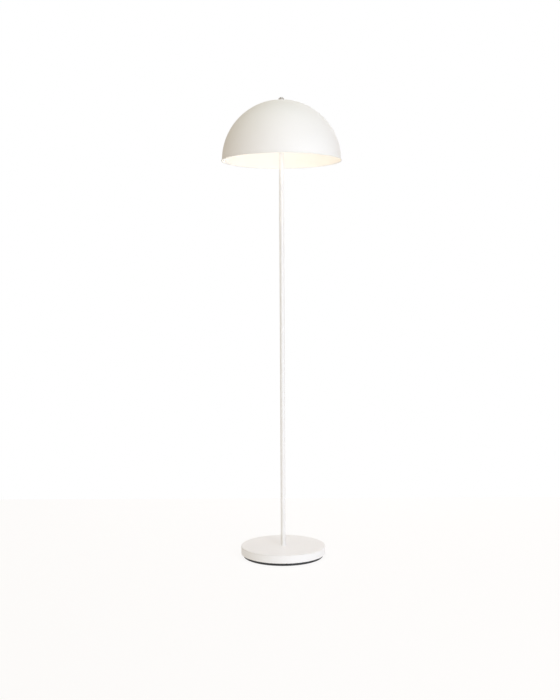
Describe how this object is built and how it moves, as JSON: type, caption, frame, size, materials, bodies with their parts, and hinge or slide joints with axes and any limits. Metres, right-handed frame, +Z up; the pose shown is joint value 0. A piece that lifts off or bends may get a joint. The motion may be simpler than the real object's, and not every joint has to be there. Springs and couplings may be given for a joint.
{
  "type": "floor lamp",
  "caption": "Floor lamp with a hemispherical metal dome shade opening downward on a slim straight pole, held by a harp and finial, on a low weighted disc base with a rubber foot ring.",
  "frame": {"origin": "centre of the plane on which the foot ring stands, under the pole's axis", "axes": "+Z up along the pole; the cord inlet looks along +Y, the back; the switch knob looks along -Y, the front"},
  "size_m": [0.4045, 0.4046, 1.5545],
  "materials": {
    "white_satin": "satin powder coat",
    "white_gloss": "semi-gloss enamel",
    "white_tube": "semi-gloss enamel",
    "black_rubber": "matt moulded",
    "black_steel": "black electrocoat",
    "cast_iron": "rough casting",
    "zinc_steel": "bright zinc plate",
    "brass": "plain",
    "nickel": "satin nickel plate",
    "black_phenolic": "moulded",
    "white_plastic": "moulded",
    "fibre_liner": "vulcanised fibre",
    "aluminium_shell": "thin pressed shell",
    "opal_globe": "opal diffuser",
    "lead_sheath": "PVC sheath"
  },
  "bodies": {
    "stand": {"foot_ring": "black_rubber", "bottom_plate": "black_steel", "plate_screws": "zinc_steel", "base_weight": "cast_iron", "base_cover": "white_gloss", "cord_bushing": "black_phenolic", "base_nipple": "zinc_steel", "base_washer": "zinc_steel", "base_nut": "zinc_steel", "terminal_block": "white_plastic", "block_screw": "zinc_steel", "inner_lead": "lead_sheath", "pole_lower": "white_tube", "pole_middle": "white_tube", "pole_upper": "white_tube", "tube_inserts": "zinc_steel", "joint_nipples": "zinc_steel", "socket_nipple": "zinc_steel", "harp_saddle": "nickel", "socket_cap": "nickel", "socket_shell": "nickel", "socket_liner": "fibre_liner", "socket_body": "black_phenolic", "terminal_screws": "brass", "screw_shell": "aluminium_shell", "centre_contact": "brass", "harp_bow": "nickel"},
    "switch": {"switch_shaft": "brass", "switch_knob": "black_phenolic"},
    "bulb": {"bulb_tip": "zinc_steel", "bulb_insulator": "black_phenolic", "bulb_cap": "aluminium_shell", "bulb_housing": "white_plastic", "bulb_globe": "opal_globe"},
    "right_ferrule": {"ferrule_right": "nickel"},
    "left_ferrule": {"ferrule_left": "nickel"},
    "shade_assembly": {"harp_stud": "nickel", "shade_washer": "black_rubber", "shade": "white_satin", "top_washer": "nickel"},
    "finial_nut": {"finial": "nickel"}
  },
  "joints": [
    {"name": "switch_turn", "type": "hinge", "parent": "stand", "child": "switch", "pos_m": [0, -0.0195, 1.4006], "axis": [0, -1, 0], "continuous": true},
    {"name": "bulb_screw", "type": "hinge", "parent": "stand", "child": "bulb", "pos_m": [0, 0, 1.4245], "axis": [0, 0, 1], "range_deg": [0, 1440]},
    {"name": "right_ferrule_lift", "type": "slide", "parent": "stand", "child": "right_ferrule", "axis": [0, 0, 1], "range_m": [0, 0.014]},
    {"name": "left_ferrule_lift", "type": "slide", "parent": "stand", "child": "left_ferrule", "axis": [0, 0, 1], "range_m": [0, 0.014]},
    {"name": "shade_swivel", "type": "hinge", "parent": "stand", "child": "shade_assembly", "pos_m": [0, 0, 1.5367], "axis": [0, 0, 1], "continuous": true},
    {"name": "finial_screw", "type": "hinge", "parent": "shade_assembly", "child": "finial_nut", "pos_m": [0, 0, 1.5499], "axis": [0, 0, 1], "range_deg": [0, 2880]}
  ]
}
